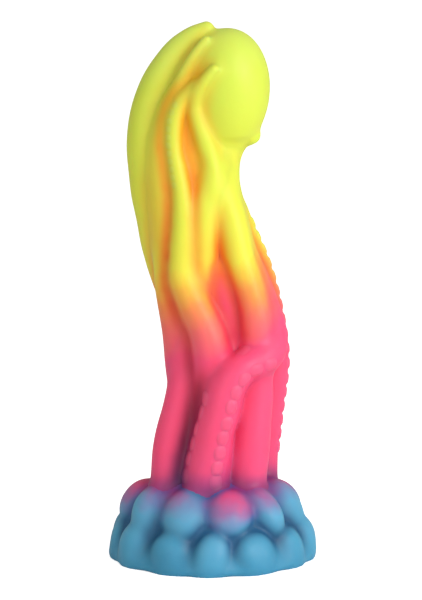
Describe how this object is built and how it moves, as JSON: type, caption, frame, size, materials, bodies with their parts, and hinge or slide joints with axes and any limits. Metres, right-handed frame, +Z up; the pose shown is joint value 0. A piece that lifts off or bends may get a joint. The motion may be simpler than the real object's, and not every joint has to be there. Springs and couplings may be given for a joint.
{
  "type": "octopus silicone adult toy",
  "caption": "Soft silicone adult toy sculpted as an octopus: egg-shaped head, eight arms flowing down a column that bends over a round foot of moulded stones with a suction dish.",
  "frame": {"origin": "middle of the foot, on the surface that it stands on", "axes": "+Z up along the column; +X is the way the face looks, which is also the way the column's belly bulges; -Y is the side with the crossing arm"},
  "size_m": [0.0826, 0.0822, 0.2118],
  "materials": {
    "foot_silicone": "matte translucent silicone",
    "lower_stone_silicone": "matte translucent silicone",
    "upper_stone_silicone": "matte translucent silicone",
    "mound_silicone": "matte translucent silicone",
    "core_silicone": "matte translucent silicone",
    "head_silicone": "matte translucent silicone",
    "arm_silicone": "matte translucent silicone"
  },
  "bodies": {
    "base": {"foot": "foot_silicone", "lower_stone_1": "lower_stone_silicone", "lower_stone_2": "lower_stone_silicone", "lower_stone_3": "lower_stone_silicone", "lower_stone_4": "lower_stone_silicone", "lower_stone_5": "lower_stone_silicone", "lower_stone_6": "lower_stone_silicone", "lower_stone_7": "lower_stone_silicone", "lower_stone_8": "lower_stone_silicone", "lower_stone_9": "lower_stone_silicone", "lower_stone_10": "lower_stone_silicone", "lower_stone_11": "lower_stone_silicone", "lower_stone_12": "lower_stone_silicone", "lower_stone_13": "lower_stone_silicone", "upper_stone_1": "upper_stone_silicone", "upper_stone_2": "upper_stone_silicone", "upper_stone_3": "upper_stone_silicone", "upper_stone_4": "upper_stone_silicone", "upper_stone_5": "upper_stone_silicone", "upper_stone_6": "upper_stone_silicone", "upper_stone_7": "upper_stone_silicone", "upper_stone_8": "upper_stone_silicone", "upper_stone_9": "upper_stone_silicone", "upper_stone_10": "upper_stone_silicone", "upper_stone_11": "upper_stone_silicone"},
    "column": {"root_mound": "mound_silicone", "core": "core_silicone", "head": "head_silicone", "near_eye": "head_silicone", "far_eye": "head_silicone", "back_arm": "arm_silicone", "hood_arm": "arm_silicone", "side_arm": "arm_silicone", "cheek_arm": "arm_silicone", "inner_arm": "arm_silicone", "belly_arm": "arm_silicone", "front_arm": "arm_silicone", "crossing_arm": "arm_silicone", "side_arm_suckers": "arm_silicone", "front_arm_suckers": "arm_silicone", "crossing_arm_suckers": "arm_silicone"}
  },
  "joints": [
    {"name": "column_bend", "type": "hinge", "parent": "base", "child": "column", "pos_m": [0, 0, 0.041], "axis": [0, 1, 0], "range_deg": [-30, 30], "stiffness_Nm_per_rad": 1}
  ]
}
